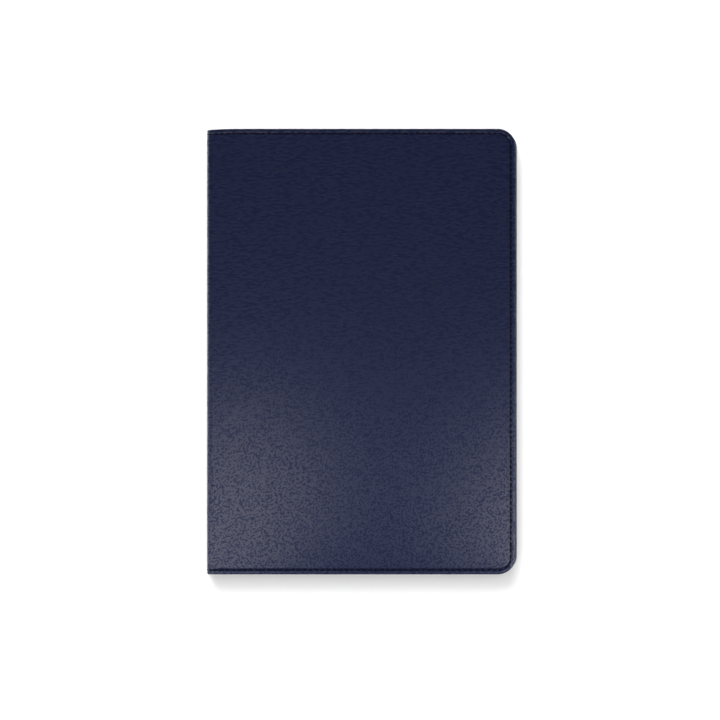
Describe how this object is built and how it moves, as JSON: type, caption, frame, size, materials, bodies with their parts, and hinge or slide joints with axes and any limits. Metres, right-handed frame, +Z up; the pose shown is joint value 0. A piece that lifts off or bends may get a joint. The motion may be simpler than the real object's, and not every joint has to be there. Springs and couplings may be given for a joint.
{
  "type": "tablet keyboard case",
  "caption": "Leather folding case for a tablet: sewn stiffened covers on a flat spine, a fold-out stand flap, a holding tray and a built-in wireless keyboard.",
  "frame": {"origin": "middle of the closed case's footprint, on the surface it lies on", "axes": "+X from the spine to the free edge, +Y along the spine, +Z up through the closed covers; the front cover is on top"},
  "size_m": [0.178, 0.255, 0.0232],
  "materials": {
    "leather": "grained, semi-matt",
    "stiffener_board": "raw grey board",
    "lining": "brushed microfibre",
    "thread": "twisted sewing thread",
    "magnet": "nickel plated",
    "tray_plastic": "fine matt texture",
    "felt": "short-pile felt",
    "adhesive": "foam tape",
    "steel": "zinc plated strip",
    "keyboard_plastic": "fine matt texture",
    "plate_metal": "plain sheet",
    "membrane_film": "printed film",
    "dome_rubber": "soft silicone",
    "link_plastic": "moulded",
    "battery_foil": "foil pouch",
    "lead_cover": "soft insulation",
    "circuit_board": "solder mask",
    "port_steel": "tin plated",
    "switch_plastic": "moulded",
    "button_plastic": "polished",
    "light_plastic": "clear, diffused",
    "screw_steel": "plated",
    "bumper_rubber": "matt",
    "key_plastic": "fine matt texture"
  },
  "bodies": {
    "back": {"back_skin": "leather", "back_board": "stiffener_board", "back_lining": "lining", "back_thread": "thread", "tray": "tray_plastic", "tray_pad": "felt", "tray_adhesive": "adhesive", "stand_keeper_plate": "steel", "closure_keepers": "steel"},
    "spine": {"spine_skin": "leather", "spine_board": "stiffener_board", "spine_lining": "lining", "spine_thread": "thread"},
    "front": {"front_skin": "leather", "front_board": "stiffener_board", "front_lining": "lining", "front_thread": "thread", "keyboard_base": "keyboard_plastic", "keyboard_frame": "keyboard_plastic", "key_support_plate": "plate_metal", "membrane": "membrane_film", "rubber_domes": "dome_rubber", "scissor_clips": "link_plastic", "battery": "battery_foil", "battery_leads": "lead_cover", "controller_board": "circuit_board", "charging_port": "port_steel", "light_pipes": "light_plastic", "keyboard_screws": "screw_steel", "bonding_pads": "adhesive", "closure_magnets": "magnet", "screen_bumpers": "bumper_rubber"},
    "stand": {"stand_skin": "leather", "stand_board": "stiffener_board", "stand_lining": "lining", "stand_thread": "thread", "stand_magnets": "magnet"},
    "power_slider": {"power_switch": "switch_plastic"},
    "pairing_cap": {"pairing_button": "button_plastic"},
    "space_bar_cap": {"space_bar": "key_plastic"},
    "modifier_keys_caps": {"modifier_keys": "key_plastic"},
    "arrow_keys_caps": {"arrow_keys": "key_plastic"},
    "left_shift_key_cap": {"left_shift_key": "key_plastic"},
    "lower_letter_keys_caps": {"lower_letter_keys": "key_plastic"},
    "right_shift_key_cap": {"right_shift_key": "key_plastic"},
    "caps_lock_key_cap": {"caps_lock_key": "key_plastic"},
    "home_letter_keys_caps": {"home_letter_keys": "key_plastic"},
    "enter_key_cap": {"enter_key": "key_plastic"},
    "tab_key_cap": {"tab_key": "key_plastic"},
    "upper_letter_keys_caps": {"upper_letter_keys": "key_plastic"},
    "number_keys_caps": {"number_keys": "key_plastic"},
    "backspace_key_cap": {"backspace_key": "key_plastic"},
    "function_keys_caps": {"function_keys": "key_plastic"}
  },
  "joints": [
    {"name": "spine_fold", "type": "hinge", "parent": "back", "child": "spine", "pos_m": [-0.088, 0, 0.001], "axis": [0, -1, 0], "range_deg": [0, 90]},
    {"name": "cover_fold", "type": "hinge", "parent": "spine", "child": "front", "pos_m": [-0.088, 0, 0.0222], "axis": [0, -1, 0], "range_deg": [0, 90]},
    {"name": "stand_fold", "type": "hinge", "parent": "back", "child": "stand", "pos_m": [-0.005, 0, 0.001], "axis": [0, 1, 0], "range_deg": [0, 120]},
    {"name": "power_slide", "type": "slide", "parent": "front", "child": "power_slider", "axis": [-1, 0, 0], "range_m": [0, 0.0025]},
    {"name": "pairing_press", "type": "slide", "parent": "front", "child": "pairing_cap", "axis": [0, 0, 1], "range_m": [0, 0.0006], "stiffness_N_per_m": 150, "springref_m": -0.0003},
    {"name": "space_bar_press", "type": "slide", "parent": "front", "child": "space_bar_cap", "axis": [0, 0, 1], "range_m": [0, 0.0013], "stiffness_N_per_m": 400, "springref_m": -0.0004, "deforming": ["rubber_domes"]},
    {"name": "modifier_press", "type": "slide", "parent": "front", "child": "modifier_keys_caps", "axis": [0, 0, 1], "range_m": [0, 0.0013], "stiffness_N_per_m": 400, "springref_m": -0.0004, "deforming": ["rubber_domes"]},
    {"name": "arrow_press", "type": "slide", "parent": "front", "child": "arrow_keys_caps", "axis": [0, 0, 1], "range_m": [0, 0.0013], "stiffness_N_per_m": 400, "springref_m": -0.0004, "deforming": ["rubber_domes"]},
    {"name": "left_shift_press", "type": "slide", "parent": "front", "child": "left_shift_key_cap", "axis": [0, 0, 1], "range_m": [0, 0.0013], "stiffness_N_per_m": 400, "springref_m": -0.0004, "deforming": ["rubber_domes"]},
    {"name": "lower_letter_press", "type": "slide", "parent": "front", "child": "lower_letter_keys_caps", "axis": [0, 0, 1], "range_m": [0, 0.0013], "stiffness_N_per_m": 400, "springref_m": -0.0004, "deforming": ["rubber_domes"]},
    {"name": "right_shift_press", "type": "slide", "parent": "front", "child": "right_shift_key_cap", "axis": [0, 0, 1], "range_m": [0, 0.0013], "stiffness_N_per_m": 400, "springref_m": -0.0004, "deforming": ["rubber_domes"]},
    {"name": "caps_lock_press", "type": "slide", "parent": "front", "child": "caps_lock_key_cap", "axis": [0, 0, 1], "range_m": [0, 0.0013], "stiffness_N_per_m": 400, "springref_m": -0.0004, "deforming": ["rubber_domes"]},
    {"name": "home_letter_press", "type": "slide", "parent": "front", "child": "home_letter_keys_caps", "axis": [0, 0, 1], "range_m": [0, 0.0013], "stiffness_N_per_m": 400, "springref_m": -0.0004, "deforming": ["rubber_domes"]},
    {"name": "enter_press", "type": "slide", "parent": "front", "child": "enter_key_cap", "axis": [0, 0, 1], "range_m": [0, 0.0013], "stiffness_N_per_m": 400, "springref_m": -0.0004, "deforming": ["rubber_domes"]},
    {"name": "tab_press", "type": "slide", "parent": "front", "child": "tab_key_cap", "axis": [0, 0, 1], "range_m": [0, 0.0013], "stiffness_N_per_m": 400, "springref_m": -0.0004, "deforming": ["rubber_domes"]},
    {"name": "upper_letter_press", "type": "slide", "parent": "front", "child": "upper_letter_keys_caps", "axis": [0, 0, 1], "range_m": [0, 0.0013], "stiffness_N_per_m": 400, "springref_m": -0.0004, "deforming": ["rubber_domes"]},
    {"name": "number_press", "type": "slide", "parent": "front", "child": "number_keys_caps", "axis": [0, 0, 1], "range_m": [0, 0.0013], "stiffness_N_per_m": 400, "springref_m": -0.0004, "deforming": ["rubber_domes"]},
    {"name": "backspace_press", "type": "slide", "parent": "front", "child": "backspace_key_cap", "axis": [0, 0, 1], "range_m": [0, 0.0013], "stiffness_N_per_m": 400, "springref_m": -0.0004, "deforming": ["rubber_domes"]},
    {"name": "function_press", "type": "slide", "parent": "front", "child": "function_keys_caps", "axis": [0, 0, 1], "range_m": [0, 0.0013], "stiffness_N_per_m": 400, "springref_m": -0.0004, "deforming": ["rubber_domes"]}
  ]
}
